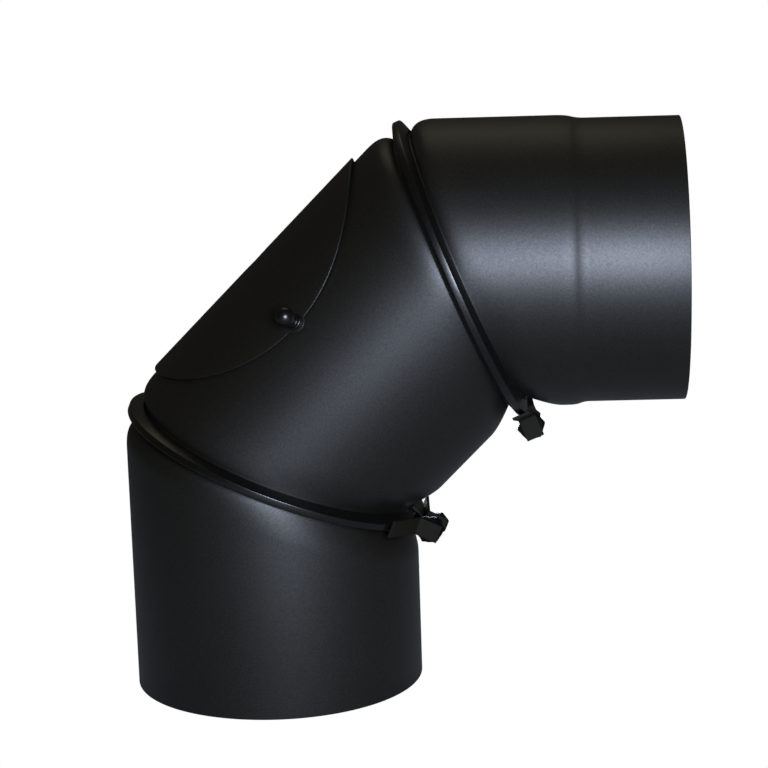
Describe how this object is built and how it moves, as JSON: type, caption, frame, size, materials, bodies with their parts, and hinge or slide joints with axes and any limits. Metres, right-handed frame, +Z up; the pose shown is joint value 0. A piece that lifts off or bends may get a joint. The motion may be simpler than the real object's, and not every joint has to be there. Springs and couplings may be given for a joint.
{
  "type": "stove pipe elbow",
  "caption": "Adjustable right-angled stove pipe elbow of swivelling sheet steel segments held by clamp rings, with a round hinged cleaning door on its heel.",
  "frame": {"origin": "centre of the lower rim", "axes": "+Z up along the lower pipe, +X along the spigot of the upper pipe, the knob on the -Y side"},
  "size_m": [0.2965, 0.168, 0.3],
  "materials": {
    "stove_paint": "satin",
    "fastener": "satin",
    "spring": "satin",
    "seal": "matte"
  },
  "bodies": {
    "lower": {"lower_segment": "stove_paint", "lower_clamp_ring": "stove_paint", "lower_front_lug": "stove_paint", "lower_rear_lug": "stove_paint", "lower_clamp_bolt": "fastener", "lower_clamp_nut": "fastener"},
    "middle": {"middle_segment": "stove_paint", "upper_clamp_ring": "stove_paint", "upper_front_lug": "stove_paint", "upper_rear_lug": "stove_paint", "upper_clamp_bolt": "fastener", "upper_clamp_nut": "fastener", "hinge_bracket": "stove_paint", "hinge_pin": "fastener"},
    "upper": {"upper_segment": "stove_paint"},
    "door": {"door_leaf": "stove_paint", "door_seal": "seal", "door_clip": "spring", "ball_knob": "stove_paint", "hinge_strap": "stove_paint"}
  },
  "joints": [
    {"name": "lower_swivel", "type": "hinge", "parent": "lower", "child": "middle", "pos_m": [0.00277, 0, 0.12035], "axis": [0.3827, 0, 0.9239], "continuous": true},
    {"name": "upper_swivel", "type": "hinge", "parent": "middle", "child": "upper", "pos_m": [0.10368, 0, 0.22126], "axis": [0.9239, 0, 0.3827], "continuous": true},
    {"name": "door_hinge", "type": "hinge", "parent": "middle", "child": "door", "pos_m": [0.02616, 0.07613, 0.19787], "axis": [-0.7071, 0, -0.7071], "range_deg": [0, 100]}
  ]
}
